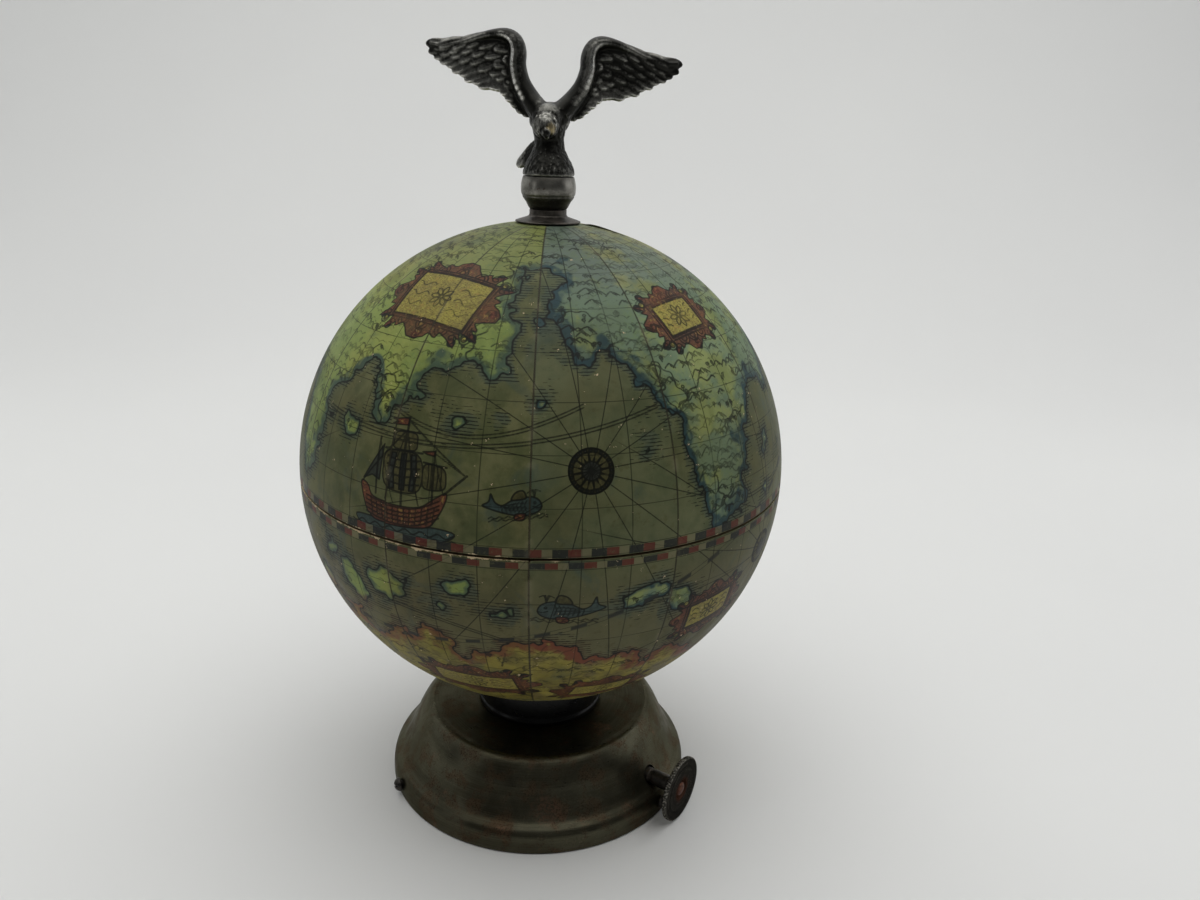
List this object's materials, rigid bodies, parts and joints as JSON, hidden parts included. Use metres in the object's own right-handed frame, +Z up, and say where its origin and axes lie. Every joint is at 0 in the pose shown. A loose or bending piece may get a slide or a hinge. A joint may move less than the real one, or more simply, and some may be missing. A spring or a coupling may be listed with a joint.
{
  "type": "tabletop globe bar",
  "caption": "Antique-map globe that opens at the equator on a back hinge, with an eagle finial, a decanter and small glasses inside, on a wind-up musical metal plinth.",
  "frame": {"origin": "centre of the underside of the felt pad, on the globe axis", "axes": "+Z up along the globe axis, -Y towards the front (thumb notch), +Y towards the hinge, +X to the right of someone facing the front"},
  "size_m": [0.165, 0.1697, 0.2631],
  "materials": {
    "pewter": "antiqued satin metal, worn",
    "silver_cast": "antique silver over dark patina",
    "steel": "dark satin steel",
    "dark_steel": "blackened steel",
    "brass": "satin brass",
    "copper": "tarnished copper",
    "black_gloss": "polished black",
    "map_paper": "varnished printed paper on pasteboard",
    "board": "raw pasteboard",
    "dark_wood": "stained wood",
    "felt": "green felt",
    "clear_glass": "clear glass"
  },
  "bodies": {
    "base": {"base_shell": "pewter", "base_plate": "steel", "felt_pad": "felt", "rim_screw_1": "dark_steel", "rim_screw_2": "dark_steel", "rim_screw_3": "dark_steel", "swivel_collar": "black_gloss", "pivot_stud": "steel", "pivot_washer": "brass", "pivot_nut": "steel", "movement_plate": "brass", "end_plate_outer": "brass", "end_plate_inner": "brass", "comb_block": "dark_steel", "tone_comb": "steel", "comb_screw_1": "steel", "comb_screw_2": "steel", "governor_bracket": "brass", "ratchet_click": "steel"},
    "winder": {"winding_shaft": "steel", "ratchet_wheel": "steel", "winding_disc": "steel", "disc_rivet": "copper"},
    "spring_barrel": {"spring_barrel": "brass", "great_wheel": "brass"},
    "pin_cylinder": {"pin_cylinder": "brass", "cylinder_pinion": "brass"},
    "governor": {"governor_fly": "brass"},
    "globe": {"globe_lower_shell": "map_paper", "pivot_boss": "dark_wood", "rim_ring": "board", "tray_floor": "dark_wood", "tray_deck": "dark_wood", "decanter_socket": "dark_wood", "hinge_leaf_lower": "brass", "hinge_pin": "steel", "hinge_rivet_lower_1": "brass", "hinge_rivet_lower_2": "brass"},
    "lid": {"globe_upper_shell": "map_paper", "hinge_leaf_upper": "brass", "hinge_rivet_upper_1": "brass", "hinge_rivet_upper_2": "brass", "finial_flange": "silver_cast", "finial_ball": "silver_cast", "finial_screw": "steel", "finial_backing": "dark_wood", "eagle": "silver_cast"},
    "decanter": {"decanter": "clear_glass"},
    "stopper": {"decanter_stopper": "clear_glass"},
    "glass_1": {"shot_glass_1": "clear_glass"},
    "glass_2": {"shot_glass_2": "clear_glass"},
    "glass_3": {"shot_glass_3": "clear_glass"},
    "glass_4": {"shot_glass_4": "clear_glass"},
    "glass_5": {"shot_glass_5": "clear_glass"},
    "glass_6": {"shot_glass_6": "clear_glass"}
  },
  "joints": [
    {"name": "globe_swivel", "type": "hinge", "parent": "base", "child": "globe", "pos_m": [0, 0, 0.035], "axis": [0, 0, 1], "continuous": true},
    {"name": "lid_hinge", "type": "hinge", "parent": "globe", "child": "lid", "pos_m": [0, 0.0852, 0.1225], "axis": [-1, 0, 0], "range_deg": [0, 100]},
    {"name": "winding_knob", "type": "hinge", "parent": "base", "child": "winder", "pos_m": [0, 0, 0.0122], "axis": [0.8387, -0.5446, 0], "continuous": true},
    {"name": "barrel_turn", "type": "hinge", "parent": "base", "child": "spring_barrel", "pos_m": [0, 0, 0.0122], "axis": [0.8387, -0.5446, 0], "continuous": true},
    {"name": "cylinder_turn", "type": "hinge", "parent": "base", "child": "pin_cylinder", "pos_m": [0.00719, 0.01107, 0.0122], "axis": [0.8387, -0.5446, 0], "continuous": true},
    {"name": "governor_spin", "type": "hinge", "parent": "base", "child": "governor", "pos_m": [-0.01032, 0.03551, 0.0128], "axis": [0, 0, 1], "continuous": true},
    {"name": "decanter_lift", "type": "slide", "parent": "globe", "child": "decanter", "axis": [0, 0, 1], "range_m": [0, 0.007]},
    {"name": "stopper_pull", "type": "slide", "parent": "decanter", "child": "stopper", "axis": [0, 0, 1], "range_m": [0, 0.007]},
    {"name": "glass_1_lift", "type": "slide", "parent": "globe", "child": "glass_1", "axis": [0, 0, 1], "range_m": [0, 0.02]},
    {"name": "glass_2_lift", "type": "slide", "parent": "globe", "child": "glass_2", "axis": [0, 0, 1], "range_m": [0, 0.02]},
    {"name": "glass_3_lift", "type": "slide", "parent": "globe", "child": "glass_3", "axis": [0, 0, 1], "range_m": [0, 0.02]},
    {"name": "glass_4_lift", "type": "slide", "parent": "globe", "child": "glass_4", "axis": [0, 0, 1], "range_m": [0, 0.02]},
    {"name": "glass_5_lift", "type": "slide", "parent": "globe", "child": "glass_5", "axis": [0, 0, 1], "range_m": [0, 0.02]},
    {"name": "glass_6_lift", "type": "slide", "parent": "globe", "child": "glass_6", "axis": [0, 0, 1], "range_m": [0, 0.02]}
  ],
  "couplings": [
    {"joint": "cylinder_turn", "follows": "barrel_turn", "ratio": -2},
    {"joint": "governor_spin", "follows": "barrel_turn", "ratio": 6}
  ]
}
